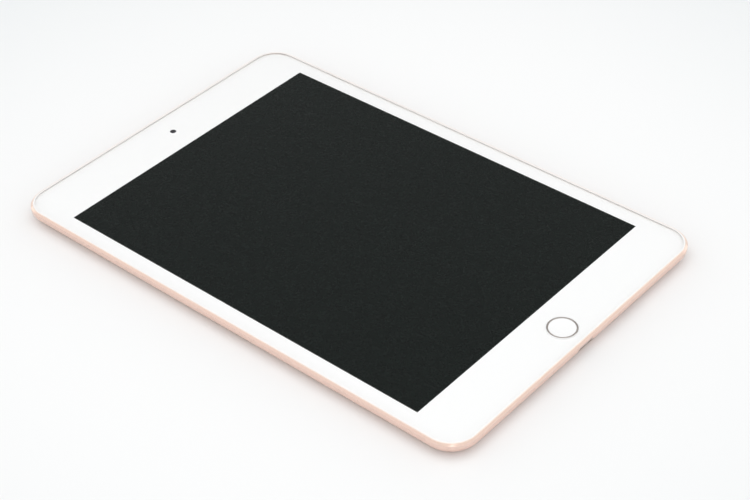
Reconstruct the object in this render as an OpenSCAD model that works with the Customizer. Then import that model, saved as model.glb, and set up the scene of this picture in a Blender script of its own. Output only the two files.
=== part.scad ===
// Small tablet computer lying on its back, screen up.
// X runs to the right side, Y to the front camera end, Z out of the screen.
// The origin is the centre of the back face. Sizes are in millimetres.

/* [Body] */
// Width of the body across the two long sides
body_w = 134.8; // [134.4:0.1:135.6]
// Length of the body from the socket end to the camera end
body_l = 203.2; // [202.8:0.1:204]
// Thickness from the back face to the face of the glass
body_t = 6.1; // [6.1:0.05:6.3]
// Radius of the corners seen from the front
corner_r = 10.5; // [10:0.25:12]
// Thickness of the back wall
floor_t = 0.8; // [0.7:0.05:0.8]

/* [Edge] */
// How far in from the side the back starts to curve up
curve_w = 6.5; // [6:0.1:7]
// Height at which the curve reaches the upright side
side_z = 4.5; // [4.3:0.05:4.6]
// Radius of the tighter curve where it meets the side
side_r = 2.9; // [2.8:0.05:3]
// Width of the polished bevel seen from the front
bevel_w = 0.65; // [0.5:0.05:0.7]
// Height of the polished bevel
bevel_h = 0.65; // [0.5:0.05:0.7]

/* [Screen] */
// Width of the part of the screen that shows
window_w = 120.1; // [119.5:0.1:120.5]
// Length of the part of the screen that shows
window_l = 160.2; // [159.5:0.1:160.6]
// Thickness of the cover glass
glass_t = 0.6; // [0.5:0.05:0.6]
// Gap between the glass and the rim of the body
glass_gap = 0.08; // [0.08:0.01:0.12]

/* [Home button] */
// Distance of the home button from the body centre
home_y = -92; // [-92.2:0.1:-91.6]
// Outer radius of the metal ring round the home button
home_ring_r = 5.2; // [5:0.05:5.6]
// Width of the metal ring
home_ring_w = 0.45; // [0.4:0.05:0.6]
// Depth of the dish in the button
home_dish = 0.2; // [0.1:0.05:0.25]

/* [Side buttons] */
// Position of the top button from the body centre
top_button_x = 49; // [48:0.5:50]
// Length of the top button
top_button_len = 10.6; // [9:0.2:11]
// Position of the volume up button from the body centre
volume_up_y = 68; // [67:0.5:69]
// Position of the volume down button from the body centre
volume_down_y = 55; // [54:0.5:56]
// Length of each volume button
volume_len = 9.6; // [8:0.2:10]
// Height of the side buttons
button_h = 2.2; // [1.8:0.1:2.3]
// How far the side buttons stand out of the body
button_out = 0.3; // [0.2:0.05:0.5]

/* [Sockets] */
// Position of the headphone socket from the body centre
jack_x = -52.4; // [-52.8:0.1:-51.5]
// Radius of the headphone socket bore
jack_r = 1.78; // [1.76:0.01:1.8]
// Height of the headphone socket axis
jack_z = 2.95; // [2.9:0.05:3]
// Width of the charging slot
port_w = 8.3; // [7.8:0.1:8.6]
// Height of the charging slot
port_h = 2.3; // [2.1:0.05:2.35]
// Height of the middle of the charging slot
port_z = 3.4; // [3.35:0.05:3.45]

/* [Openings] */
// Number of sound holes on each side of the charging slot
sound_holes = 14; // [6:1:14]
// Radius of a sound hole
sound_r = 0.5; // [0.35:0.05:0.55]
// Distance between sound holes
sound_pitch = 1.5; // [1.3:0.05:1.5]
// Radius of the rear camera ring
rear_cam_r = 3.9; // [3.5:0.1:4]
// Radius of the clear spot in front of the front camera
front_cam_r = 1.2; // [0.8:0.1:1.6]
// Distance of the front camera from the body centre
front_cam_y = 90.6; // [90:0.1:91]

/* [Battery] */
// Width of one battery cell
cell_w = 46.5; // [44:0.5:47]
// Length of the battery cells
cell_l = 148; // [140:1:150]

/* [Hidden] */
$fn = 48;

half_w = body_w / 2;
half_l = body_l / 2;
// heights of the steps inside the body, from the back up
shelf_z = 2.2;
step_z = 4.2;
ledge_z = body_t - 0.85;
lip_z = body_t - 0.1;
glass_z = body_t - glass_t;
mask_z = glass_z - 0.1;
bevel_z = lip_z - bevel_h;
// how far each step stands in from the side
floor_in = 5;
shelf_in = 2.6;
step_in = 2.3;
rim_in = 0.75;
// the wide curve of the back and where the two curves touch
back_r = (pow(curve_w - side_r, 2) + side_z * side_z - side_r * side_r)
         / (2 * (side_z - side_r));
curve_gap = back_r - side_r;
touch_u = curve_w - back_r * (curve_w - side_r) / curve_gap;
touch_z = back_r - back_r * (back_r - side_z) / curve_gap;
// the screen layers
cell_half_w = window_w / 2 + 1.45;
cell_half_l = window_l / 2 + 2.2;
panel_z = mask_z - 0.9;
light_z = panel_z - 0.6;
flex_t = 0.1;
// the parts of the home button and how they stack
home_hole_r = home_ring_r + 0.1;
home_cap_r = home_ring_r - home_ring_w - 0.05;
home_flange_r = home_ring_r + 0.7;
home_flange_z = 4.85;
home_puck_z = 4.75;
bracket_z = 4.2;
bracket_top = 4.4;
home_boss_x = 11.5;
home_boss_y = home_y - 2;
// the side buttons
button_z = 3.6;
button_gap = 0.1;
flange_t = 0.5;
wall_in = shelf_in + 0.1;
flange_in = wall_in + flange_t;
dome_top_in = flange_in + 0.05;
dome_foot_in = dome_top_in + 0.4;
plate_in = dome_foot_in + 0.55;
// the sockets
jack_nose_r = jack_r + 0.37;
jack_depth = 14.4;
port_back = -94.2;
port_skin = 0.1;
port_wall = 0.35;
// the cameras
front_boss_x = 7.5;
front_bracket_z = 4.5;
rear_cam_x = 55.5;
rear_cam_y = 88.5;
rear_mic_x = 46.5;
// the board
board_z = 1.2;
board_top = 2;
board_x0 = 36;
board_x1 = 61;
board_y0 = -70;
board_y1 = 78;
shield_top = 3.4;
plug_top = 3;
board_holes = [[38, -50], [59.2, -50], [38, 20], [59.2, 20], [59.2, 71]];
shield_y = [[-44, -8], [-4, 18], [22, 62]];
shield_x0 = 40;
shield_x1 = 57;
// the battery
cell_z = 0.95;
cell_top = 3.7;
left_cell_x = -60;
right_cell_x = left_cell_x + cell_w + 1;
cell_y = -72;
// the speakers and their holes
sound_x = 10.5;
sound_z = 2.8;
speaker_top = 3.5;

// ---- shapes used again and again ----

module round_rect(w, l, r) {
  square([w - 2 * r, l], center = true);
  square([w, l - 2 * r], center = true);
  for (sx = [-1, 1], sy = [-1, 1])
    translate([sx * (w / 2 - r), sy * (l / 2 - r)])
      circle(r = r);
}

module plate(w, l, r, z0, z1)
  translate([0, 0, z0])
    linear_extrude(height = z1 - z0)
      round_rect(w, l, r);

module block(x0, x1, y0, y1, z0, z1)
  translate([x0, y0, z0])
    cube([x1 - x0, y1 - y0, z1 - z0]);

module peg(x, y, r, z0, z1)
  translate([x, y, z0])
    cylinder(r = r, h = z1 - z0);

module pill(w, h) {
  square([w - h, h], center = true);
  for (s = [-1, 1])
    translate([s * (w - h) / 2, 0])
      circle(r = h / 2);
}

// a pill whose length lies along X, drawn out along Y
module pill_y(x, y0, y1, z, w, h)
  translate([x, y0, z])
    rotate([-90, 0, 0])
      linear_extrude(height = y1 - y0)
        pill(w, h);

// a pill whose length lies along Y, drawn out along X
module pill_x(x0, x1, y, z, w, h)
  translate([x0, y, z])
    rotate([90, 0, 90])
      linear_extrude(height = x1 - x0)
        pill(w, h);

// a round bar along Y
module rod_y(x, y0, y1, z, r)
  translate([x, y0, z])
    rotate([-90, 0, 0])
      cylinder(r = r, h = y1 - y0);

// a small screw with its head at head_z and a smooth shank below
module screw(x, y, head_z, head_r, head_t, shank_r, tip_z) {
  peg(x, y, head_r, head_z, head_z + head_t);
  peg(x, y, shank_r, tip_z, head_z);
}

// ---- the body ----

// the edge of the body: first axis inwards from the side, second axis up
module edge_profile() {
  polygon([
    [0, side_z], [0, bevel_z], [bevel_w, lip_z], [corner_r, lip_z],
    [corner_r, 0], [curve_w, 0], [curve_w, side_z / 2],
    [side_r * 0.85, side_z / 2], [side_r * 0.85, side_z]
  ]);
  intersection() {
    translate([curve_w, back_r])
      circle(r = back_r);
    translate([touch_u, 0])
      square([curve_w - touch_u + 1.5, side_z * 0.75]);
  }
  intersection() {
    translate([side_r, side_z])
      circle(r = side_r);
    translate([0, touch_z])
      square([side_r, side_z - touch_z + 0.5]);
  }
}

// the same edge with the steps of the hollow taken out
module wall_profile() {
  reach = corner_r + 1;
  difference() {
    edge_profile();
    translate([floor_in, floor_t])
      square([reach, body_t]);
    translate([shelf_in, shelf_z])
      square([reach, body_t]);
    translate([step_in, step_z])
      square([reach, body_t]);
    translate([rim_in, ledge_z])
      square([reach, body_t]);
  }
}

module housing_shell() {
  run_w = body_w - 2 * corner_r;
  run_l = body_l - 2 * corner_r;
  turns = [[1, 1, 0], [-1, 1, 90], [-1, -1, 180], [1, -1, 270]];
  for (c = turns)
    translate([c[0] * run_w / 2, c[1] * run_l / 2, 0])
      rotate([0, 0, c[2]])
        rotate_extrude(angle = 90)
          translate([corner_r, 0])
            mirror([1, 0])
              wall_profile();
  for (s = [0, 1])
    mirror([s, 0, 0])
      translate([-half_w, 0, 0])
        rotate([90, 0, 0])
          linear_extrude(height = run_l, center = true)
            wall_profile();
  for (s = [0, 1])
    mirror([0, s, 0])
      translate([0, -half_l, 0])
        rotate([90, 0, 90])
          linear_extrude(height = run_w, center = true)
            wall_profile();
  translate([-run_w / 2, -run_l / 2, 0])
    cube([run_w, run_l, floor_t]);
}

// the outside of the body along one end, used to trim what sits flush
module end_form(side)
  scale([1, side, 1])
    translate([0, half_l, 0])
      rotate([90, 0, 90])
        linear_extrude(height = body_w - 2 * corner_r, center = true)
          mirror([1, 0])
            edge_profile();

module housing_bosses() {
  for (p = board_holes)
    peg(p[0], p[1], 1.8, floor_t - 0.1, board_z);
  for (s = [-1, 1]) {
    peg(s * home_boss_x, home_boss_y, 1.6, floor_t - 0.1, bracket_z);
    peg(s * front_boss_x, front_cam_y, 1.4, floor_t - 0.1, front_bracket_z);
  }
}

module housing_holes() {
  for (p = board_holes)
    peg(p[0], p[1], 0.7, 0.4, board_z + 1);
  for (s = [-1, 1]) {
    peg(s * home_boss_x, home_boss_y, 0.7, 1.6, bracket_z + 1);
    peg(s * front_boss_x, front_cam_y, 0.6, 2, front_bracket_z + 1);
  }
  pill_y(top_button_x, half_l - 4, half_l + 1, button_z,
         top_button_len + 2 * button_gap, button_h + 2 * button_gap);
  for (y = [volume_up_y, volume_down_y])
    pill_x(half_w - 4, half_w + 1, y, button_z,
           volume_len + 2 * button_gap, button_h + 2 * button_gap);
  rod_y(jack_x, half_l - 6, half_l + 1, jack_z, jack_nose_r + 0.05);
  pill_y(0, -half_l - 1, -half_l + 4, port_z, port_w, port_h);
  for (s = [-1, 1], i = [0 : sound_holes - 1])
    rod_y(s * (sound_x + i * sound_pitch), -half_l - 1, -half_l + 4,
          sound_z, sound_r);
  rod_y(0, half_l - 4, half_l + 1, 3.3, 0.4);
  peg(rear_cam_x, rear_cam_y, rear_cam_r + 0.05, -1, floor_t + 1);
  peg(rear_mic_x, rear_cam_y, 0.5, -1, floor_t + 1);
}

module rear_housing()
  color("burlywood")
    difference() {
      union() {
        housing_shell();
        housing_bosses();
      }
      housing_holes();
    }

// ---- the front ----

module cover_glass()
  color("azure")
    difference() {
      plate(body_w - 2 * (rim_in + glass_gap), body_l - 2 * (rim_in + glass_gap),
            corner_r - rim_in - glass_gap, glass_z, body_t);
      peg(0, home_y, home_hole_r, glass_z - 1, body_t + 1);
    }

module bezel_mask()
  color("white")
    difference() {
      plate(body_w - 2 * (rim_in + 0.15), body_l - 2 * (rim_in + 0.15),
            corner_r - rim_in - 0.15, mask_z, glass_z);
      block(-window_w / 2, window_w / 2, -window_l / 2, window_l / 2,
            mask_z - 1, glass_z + 1);
      peg(0, home_y, home_hole_r, mask_z - 1, glass_z + 1);
      peg(0, front_cam_y, front_cam_r, mask_z - 1, glass_z + 1);
    }

module glass_gasket()
  color("dimgray")
    difference() {
      plate(body_w - 2 * (rim_in + 0.1), body_l - 2 * (rim_in + 0.1),
            corner_r - rim_in - 0.1, ledge_z, mask_z);
      plate(body_w - 2 * (rim_in + 0.9), body_l - 2 * (rim_in + 0.9),
            corner_r - rim_in - 0.9, ledge_z - 1, mask_z + 1);
    }

module display_panel()
  color("black") {
    block(-cell_half_w, cell_half_w, -cell_half_l, cell_half_l,
          panel_z, mask_z);
    block(-window_w / 2 + 0.05, window_w / 2 - 0.05,
          -window_l / 2 + 0.05, window_l / 2 - 0.05, mask_z, glass_z);
  }

module display_backlight()
  color("silver")
    block(-cell_half_w, cell_half_w, -cell_half_l, cell_half_l,
          light_z, panel_z);

module display_flex()
  color("chocolate") {
    block(48, 58, -cell_half_l - flex_t, -cell_half_l, 3.75, 5);
    block(48, 58, -cell_half_l - flex_t, -58, 3.75, 3.75 + flex_t);
    block(48, 58, -58 - flex_t, -58, plug_top, 3.75 + flex_t);
  }

// ---- the home button ----

module home_button_cap() {
  dish_r = home_cap_r - 0.4;
  ball_r = (dish_r * dish_r + home_dish * home_dish) / (2 * home_dish);
  color("white")
    difference() {
      peg(0, home_y, home_cap_r, 5.3, body_t - 0.05);
      translate([0, home_y, body_t - 0.05 - home_dish + ball_r])
        sphere(r = ball_r, $fn = 300);
    }
}

module home_button_ring()
  color("tan")
    difference() {
      union() {
        peg(0, home_y, home_ring_r, home_flange_z, body_t);
        peg(0, home_y, home_flange_r, home_flange_z, home_flange_z + 0.3);
      }
      peg(0, home_y, home_ring_r - home_ring_w, home_flange_z - 1,
          body_t + 1);
    }

module home_button_sensor()
  color("dimgray") {
    peg(0, home_y, home_cap_r, home_puck_z + 0.15, 5.3);
    peg(0, home_y, home_cap_r - 1, home_puck_z, home_puck_z + 0.15);
  }

module home_button_gasket()
  color("ghostwhite")
    difference() {
      peg(0, home_y, home_hole_r + 1.6, ledge_z, mask_z);
      peg(0, home_y, home_hole_r + 0.3, ledge_z - 1, mask_z + 1);
    }

module home_button_bracket()
  color("lightgray")
    difference() {
      union() {
        block(-9, 9, home_y - 1.9, home_y + 7.5, bracket_z, bracket_top);
        block(-home_boss_x - 1.7, home_boss_x + 1.7, home_boss_y + 0.1,
              home_y + 1.9, bracket_z, bracket_top);
        for (s = [-1, 1])
          peg(s * home_boss_x, home_boss_y, 1.7, bracket_z, bracket_top);
      }
      for (s = [-1, 1])
        peg(s * home_boss_x, home_boss_y, 0.75, bracket_z - 1,
            bracket_top + 1);
    }

module home_button_dome()
  color("silver")
    translate([0, home_y, bracket_top])
      cylinder(r1 = 1.6, r2 = 0.9, h = home_puck_z - bracket_top - 0.03);

module home_button_flex()
  color("chocolate") {
    block(1.9, 39, -90.6, -88.6, bracket_top, bracket_top + flex_t);
    block(37, 39, -90.6, -83.6, bracket_top, bracket_top + flex_t);
    block(37, 39, -83.7, -83.6, 3.6, bracket_top + flex_t);
    block(37, 39, -83.7, -62, 3.6, 3.6 + flex_t);
    block(37, 39, -62.1, -62, plug_top, 3.6 + flex_t);
  }

// ---- the front camera and the light sensor ----

module front_camera()
  color("black") {
    block(-4, 4, front_cam_y - 4, front_cam_y + 4, 1.5, front_bracket_z);
    peg(0, front_cam_y, 2.2, front_bracket_z - 0.1, 5.3);
  }

module front_camera_bracket()
  color("lightgray")
    difference() {
      block(-9.3, 9.3, front_cam_y - 2.8, front_cam_y + 2.8,
            front_bracket_z, front_bracket_z + 0.2);
      peg(0, front_cam_y, 2.3, 4, 5);
      for (s = [-1, 1])
        peg(s * front_boss_x, front_cam_y, 0.65, 4, 5);
    }

module front_camera_flex()
  color("chocolate") {
    block(4, 42, front_cam_y - 3.9, front_cam_y - 2, plug_top,
          plug_top + flex_t);
    block(40, 42, 74, front_cam_y - 2, plug_top, plug_top + flex_t);
  }

module light_sensor()
  color("darkslategray")
    block(-12.2, -9.3, front_cam_y - 1.1, front_cam_y + 1.1, 4.4, 5.3);

// ---- the battery ----

module cell(x)
  block(x, x + cell_w, cell_y, cell_y + cell_l, cell_z, cell_top);

module battery_cell_left()
  color("black")
    cell(left_cell_x);

module battery_cell_right()
  color("black")
    cell(right_cell_x);

module battery_adhesive()
  color("whitesmoke")
    for (x = [left_cell_x, right_cell_x], i = [0 : 2])
      block(x + 4 + i * 14, x + 14 + i * 14, cell_y + 4,
            cell_y + cell_l - 4, floor_t, cell_z);

module battery_board()
  color("black")
    block(-40, 33, -77.8, cell_y - 0.4, floor_t, plug_top);

module battery_lead()
  color("orange") {
    block(29, 40, -77, -74.5, plug_top, plug_top + flex_t);
    block(37, 40, -77, -65.2, plug_top, plug_top + flex_t);
  }

// ---- the board and what is on it ----

module logic_board()
  color("darkgreen")
    difference() {
      union() {
        block(board_x0, board_x1, board_y0, board_y1, board_z, board_top);
        block(board_x0, board_x0 + 14, board_y1 - 1, board_y1 + 3.5,
              board_z, board_top);
      }
      for (p = board_holes)
        peg(p[0], p[1], 0.8, board_z - 1, board_top + 1);
    }

module board_shields()
  color("silver")
    for (s = shield_y)
      difference() {
        block(shield_x0, shield_x1, s[0], s[1], board_top, shield_top);
        block(shield_x0 + 0.2, shield_x1 - 0.2, s[0] + 0.2, s[1] - 0.2,
              board_top - 1, shield_top - 0.2);
      }

module chip(x, y, w, l, t)
  block(x - w / 2, x + w / 2, y - l / 2, y + l / 2, board_top,
        board_top + t);

module board_chips()
  color("darkslategray") {
    chip(48.5, 50, 14, 14, 0.9);
    chip(48.5, 31, 12, 14, 0.8);
    chip(48.5, 7, 12, 9, 1);
    chip(48.5, -18, 12, 16, 0.9);
    chip(45, -36, 8, 8, 0.7);
    chip(53.3, -36, 5, 6, 0.7);
  }

module plug(x, y, w, l)
  block(x - w / 2, x + w / 2, y - l / 2, y + l / 2, board_top, plug_top);

module board_connectors()
  color("ivory") {
    plug(38.5, -66.5, 4, 2.6);
    plug(44, -66.5, 5, 2.6);
    plug(38, -61.5, 3.4, 2.6);
    plug(53, -59, 11, 2.6);
    plug(58.9, 64.3, 3.4, 4.4);
    plug(45.5, 74, 3.4, 2.6);
    plug(41, 75, 2.6, 2.6);
    plug(38, 70.5, 2.6, 2.6);
    plug(52.5, 76, 5, 2.6);
  }

module board_screws()
  color("silver")
    for (p = board_holes)
      screw(p[0], p[1], board_top, 1.4, 0.5, 0.65, 0.5);

module shield_pads()
  color("gray")
    for (s = shield_y)
      block(44, 53, (s[0] + s[1]) / 2 - 5, (s[0] + s[1]) / 2 + 5,
            shield_top, light_z);

module graphite_sheet()
  color("dimgray")
    block(left_cell_x, right_cell_x + cell_w, -77, 79,
          cell_top + 0.05, light_z);

// ---- the rear camera ----

module rear_camera()
  color("black") {
    block(rear_cam_x - 4.25, rear_cam_x + 4.25, rear_cam_y - 4.25,
          rear_cam_y + 4.25, 1.4, 4.9);
    peg(rear_cam_x, rear_cam_y, 2.9, 0.75, 1.5);
    block(50, 55, 75, rear_cam_y - 4.15, plug_top, plug_top + flex_t);
  }

module rear_camera_lens()
  color("darkslategray")
    peg(rear_cam_x, rear_cam_y, rear_cam_r - 0.8, 0.1, 0.7);

module rear_camera_trim()
  color("silver")
    difference() {
      union() {
        peg(rear_cam_x, rear_cam_y, rear_cam_r, 0, floor_t + 0.1);
        peg(rear_cam_x, rear_cam_y, rear_cam_r + 0.8, floor_t,
            floor_t + 0.3);
      }
      peg(rear_cam_x, rear_cam_y, rear_cam_r - 0.75, -1, floor_t + 1);
    }

// ---- the headphone socket ----

module headphone_jack() {
  jack_back = half_l - jack_depth - 1.6;
  color("ivory")
    difference() {
      union() {
        block(jack_x - 3.25, jack_x + 3.25, jack_back, half_l - 5.1,
              floor_t + 0.05, ledge_z - 0.1);
        block(jack_x - 3.25, jack_x + 3.25, half_l - 6, half_l - 2.7,
              shelf_z + 0.1, ledge_z - 0.1);
        intersection() {
          rod_y(jack_x, half_l - 6, half_l + 1, jack_z, jack_nose_r);
          end_form(1);
        }
      }
      rod_y(jack_x, half_l - jack_depth, half_l + 1, jack_z, jack_r);
    }
}

module jack_contacts()
  color("gold")
    for (i = [0 : 3])
      block(jack_x - 2.2 + i * 1.2, jack_x - 1.4 + i * 1.2,
            half_l - 15.8, half_l - 9, ledge_z - 0.1, ledge_z);

module jack_flex()
  color("chocolate") {
    block(jack_x + 3.25, 36.6, 82, 85, floor_t, floor_t + flex_t);
    block(jack_x + 3.25, jack_x + 3.35, 82, 88, floor_t, 2.6);
    block(36.5, 36.6, 82, 85, floor_t, plug_top + flex_t);
    block(36.5, 39, 82, 85, plug_top, plug_top + flex_t);
    block(37, 39, 69.4, 85, plug_top, plug_top + flex_t);
  }

// ---- the charging socket ----

module charging_port() {
  shell_w = port_w - 2 * port_skin;
  shell_h = port_h - 2 * port_skin;
  color("silver")
    difference() {
      union() {
        pill_y(0, -half_l + 4, port_back, port_z, shell_w, shell_h);
        intersection() {
          pill_y(0, -half_l - 1, -half_l + 5, port_z, shell_w, shell_h);
          end_form(-1);
        }
      }
      pill_y(0, -half_l - 2, port_back - 0.5, port_z,
             shell_w - 2 * port_wall, shell_h - 2 * port_wall + 0.1);
    }
}

module port_contacts()
  color("gold")
    for (i = [0 : 7], s = [0, 1])
      translate([(i - 3.5) * 0.75 - 0.2, -99.6, 0])
        mirror([0, 0, s])
          translate([0, 0, (1 - 2 * s) * port_z - port_h / 2
                     + port_skin + port_wall - 0.05])
            cube([0.4, 4, 0.12]);

module port_flex()
  color("chocolate") {
    block(-3, 3, port_back, port_back + flex_t, 1.5, 4);
    block(-3, 3, port_back, -79, 1.5, 1.5 + flex_t);
    block(-3, 46, -82, -79, 1.5, 1.5 + flex_t);
    block(42, 46, -79.1, -79, 1.5, plug_top + flex_t);
    block(42, 46, -79.1, -65.2, plug_top, plug_top + flex_t);
  }

// ---- the speakers ----

module speaker(s)
  scale([s, 1, 1]) {
    block(15, 57, -96.2, -83.5, floor_t, speaker_top);
    block(9.8, 31, -98.6, -96.1, shelf_z + 0.05, speaker_top);
  }

module speaker_left()
  color("black")
    speaker(-1);

module speaker_right()
  color("black")
    speaker(1);

module speaker_meshes()
  color("dimgray")
    for (s = [-1, 1])
      scale([s, 1, 1])
        block(9.8, 31, -98.85, -98.6, shelf_z + 0.05, speaker_top);

// ---- the buttons on the edges ----

module top_button()
  color("burlywood") {
    pill_y(top_button_x, half_l - wall_in - 0.1, half_l + button_out,
           button_z, top_button_len, button_h);
    pill_y(top_button_x, half_l - flange_in, half_l - wall_in, button_z,
           top_button_len + 1.6, button_h + 0.3);
  }

module volume_button(y) {
  pill_x(half_w - wall_in - 0.1, half_w + button_out, y, button_z,
         volume_len, button_h);
  pill_x(half_w - flange_in, half_w - wall_in, y, button_z,
         volume_len + 1.6, button_h + 0.3);
}

module volume_up_button()
  color("burlywood")
    volume_button(volume_up_y);

module volume_down_button()
  color("burlywood")
    volume_button(volume_down_y);

// a snap dome with its wide foot at the origin, rising along Z
module snap_dome()
  cylinder(r1 = 1.1, r2 = 0.6, h = dome_foot_in - dome_top_in);

module top_button_dome()
  color("silver")
    translate([top_button_x, half_l - dome_foot_in, button_z])
      rotate([-90, 0, 0])
        snap_dome();

module volume_dome(y)
  translate([half_w - dome_foot_in, y, button_z])
    rotate([0, 90, 0])
      snap_dome();

module volume_up_dome()
  color("silver")
    volume_dome(volume_up_y);

module volume_down_dome()
  color("silver")
    volume_dome(volume_down_y);

module top_button_bracket()
  color("lightgray") {
    block(top_button_x - 7, top_button_x + 7, half_l - plate_in,
          half_l - dome_foot_in, shelf_z, 4.8);
    block(top_button_x - 7, top_button_x + 7, half_l - 4.9,
          half_l - dome_foot_in, shelf_z, shelf_z + 0.3);
  }

module top_button_flex()
  color("chocolate") {
    block(44, 54, half_l - plate_in - flex_t, half_l - plate_in, 2.6, 4.5);
    block(44, 47, 72.8, half_l - plate_in, plug_top, plug_top + flex_t);
  }

module volume_bracket()
  color("lightgray") {
    block(half_w - plate_in, half_w - dome_foot_in, volume_down_y - 7,
          volume_up_y + 7, shelf_z, 4.8);
    block(half_w - 4.9, half_w - dome_foot_in, volume_down_y - 7,
          volume_up_y + 7, shelf_z, shelf_z + 0.3);
  }

module volume_flex()
  color("chocolate") {
    block(half_w - plate_in - flex_t, half_w - plate_in,
          volume_down_y - 5, volume_up_y + 5, 2.6, 4.5);
    block(57.4, half_w - plate_in, 62.3, 66, plug_top, plug_top + flex_t);
  }

// ---- the small parts ----

module antenna_left()
  color("goldenrod") {
    block(-45, -17, 84, 98.5, 4.4, 4.8);
    block(-45, -17, 96.8, 98.7, shelf_z, 4.8);
  }

module antenna_right()
  color("goldenrod") {
    block(13, 40, 84, 98.5, 4.4, 4.8);
    block(13, 40, 96.8, 98.7, shelf_z, 4.8);
  }

module microphones()
  color("gold") {
    block(-1.8, 1.8, 96.2, half_l - 2.65, 2.6, 4);
    block(rear_mic_x - 1.6, rear_mic_x + 1.6, rear_cam_y - 1.2,
          rear_cam_y + 1.2, floor_t, floor_t + 1);
  }

module cover_magnets()
  color("gainsboro") {
    for (y = [-60 : 30 : 60])
      block(-half_w + 2.7, -half_w + 4.9, y - 7, y + 7, shelf_z, 3.8);
    for (y = [-60 : 30 : 0])
      block(half_w - 4.9, half_w - 2.7, y - 7, y + 7, shelf_z, 3.8);
  }

module bracket_screws()
  color("silver")
    for (s = [-1, 1]) {
      screw(s * home_boss_x, home_boss_y, bracket_top, 1.3, 0.4, 0.65, 1.8);
      screw(s * front_boss_x, front_cam_y, front_bracket_z + 0.2, 1.3, 0.4,
            0.55, 2.2);
    }

rear_housing();
cover_glass();
bezel_mask();
glass_gasket();
display_panel();
display_backlight();
display_flex();
home_button_cap();
home_button_ring();
home_button_sensor();
home_button_gasket();
home_button_bracket();
home_button_dome();
home_button_flex();
front_camera();
front_camera_bracket();
front_camera_flex();
light_sensor();
battery_cell_left();
battery_cell_right();
battery_adhesive();
battery_board();
battery_lead();
logic_board();
board_shields();
board_chips();
board_connectors();
board_screws();
shield_pads();
graphite_sheet();
rear_camera();
rear_camera_lens();
rear_camera_trim();
headphone_jack();
jack_contacts();
jack_flex();
charging_port();
port_contacts();
port_flex();
speaker_left();
speaker_right();
speaker_meshes();
top_button();
top_button_dome();
top_button_bracket();
top_button_flex();
volume_up_button();
volume_down_button();
volume_up_dome();
volume_down_dome();
volume_bracket();
volume_flex();
antenna_left();
antenna_right();
microphones();
cover_magnets();
bracket_screws();
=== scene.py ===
import math

import bmesh
import bpy
from bpy.props import (FloatProperty, FloatVectorProperty, IntProperty,
                       PointerProperty)
from mathutils import Matrix, Vector


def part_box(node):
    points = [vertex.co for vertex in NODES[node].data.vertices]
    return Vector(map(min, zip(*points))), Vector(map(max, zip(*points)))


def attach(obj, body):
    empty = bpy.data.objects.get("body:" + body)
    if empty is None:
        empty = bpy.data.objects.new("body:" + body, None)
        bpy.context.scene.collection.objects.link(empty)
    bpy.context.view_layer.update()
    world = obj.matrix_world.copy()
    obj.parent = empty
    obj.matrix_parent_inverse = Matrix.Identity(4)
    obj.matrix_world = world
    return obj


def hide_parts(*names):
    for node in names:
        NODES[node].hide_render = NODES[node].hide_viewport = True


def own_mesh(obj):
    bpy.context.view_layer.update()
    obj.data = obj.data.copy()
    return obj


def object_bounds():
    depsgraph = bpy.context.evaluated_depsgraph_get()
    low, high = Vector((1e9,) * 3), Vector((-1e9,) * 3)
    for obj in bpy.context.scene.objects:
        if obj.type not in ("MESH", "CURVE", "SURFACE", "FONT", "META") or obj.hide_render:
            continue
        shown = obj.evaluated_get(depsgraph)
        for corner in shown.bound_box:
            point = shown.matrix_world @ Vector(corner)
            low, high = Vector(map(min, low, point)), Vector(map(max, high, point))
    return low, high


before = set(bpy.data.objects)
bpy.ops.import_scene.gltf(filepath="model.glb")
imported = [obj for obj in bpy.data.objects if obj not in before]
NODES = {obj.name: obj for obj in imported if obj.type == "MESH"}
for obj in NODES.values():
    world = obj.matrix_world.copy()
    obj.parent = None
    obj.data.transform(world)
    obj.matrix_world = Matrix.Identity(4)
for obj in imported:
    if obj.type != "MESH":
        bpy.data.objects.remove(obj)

bl_info = {
    "name": "Slab tablet",
    "version": (1, 0, 0),
    "blender": (4, 5, 0),
    "location": "View3D > Sidebar > Tablet",
    "description": "Models and finishes the pieces of a small slab tablet",
    "category": "Object",
}

MM = 0.001
CAD_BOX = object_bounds()
UP = Vector((0, 0, 1))
BODY_CORNER = 10.5 * MM    # round corners of the outline
BEVEL = 0.65 * MM          # chamfer round the top of the body
SEAT_RIM = 0.75 * MM       # height below the top where the wall round the glass starts
SCREEN_GLANCE = (0.58, 0.52, 0.626)    # direction that the screen mirrors to the camera


# ---- sizes and colours that a user would change ----

def length(name, description, default):
    return FloatProperty(name=name, description=description, default=default,
                         min=0.0, unit="LENGTH", subtype="DISTANCE", precision=6)


def colour(name, description, default):
    return FloatVectorProperty(name=name, description=description, default=default,
                               subtype="COLOR", size=3, min=0.0, max=1.0)


class TabletSizes(bpy.types.PropertyGroup):
    glass_round: length("Glass edge", "Rounding of the front edge of the glass", 0.24 * MM)
    button_round: length("Button edge", "Bevel round the face of each edge button", 0.16 * MM)
    dish_depth: length("Dish depth", "Depth of the dish in the home button", 0.2 * MM)
    foil_rim: length("Pouch rim", "Width of the sealed rim of a battery cell", 1.4 * MM)
    chip_round: length("Chip edge", "Bevel round the top of each chip", 0.12 * MM)
    round_steps: IntProperty(name="Corner steps", description="Segments in each rounded corner",
                             default=20, min=4, max=48)


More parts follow.
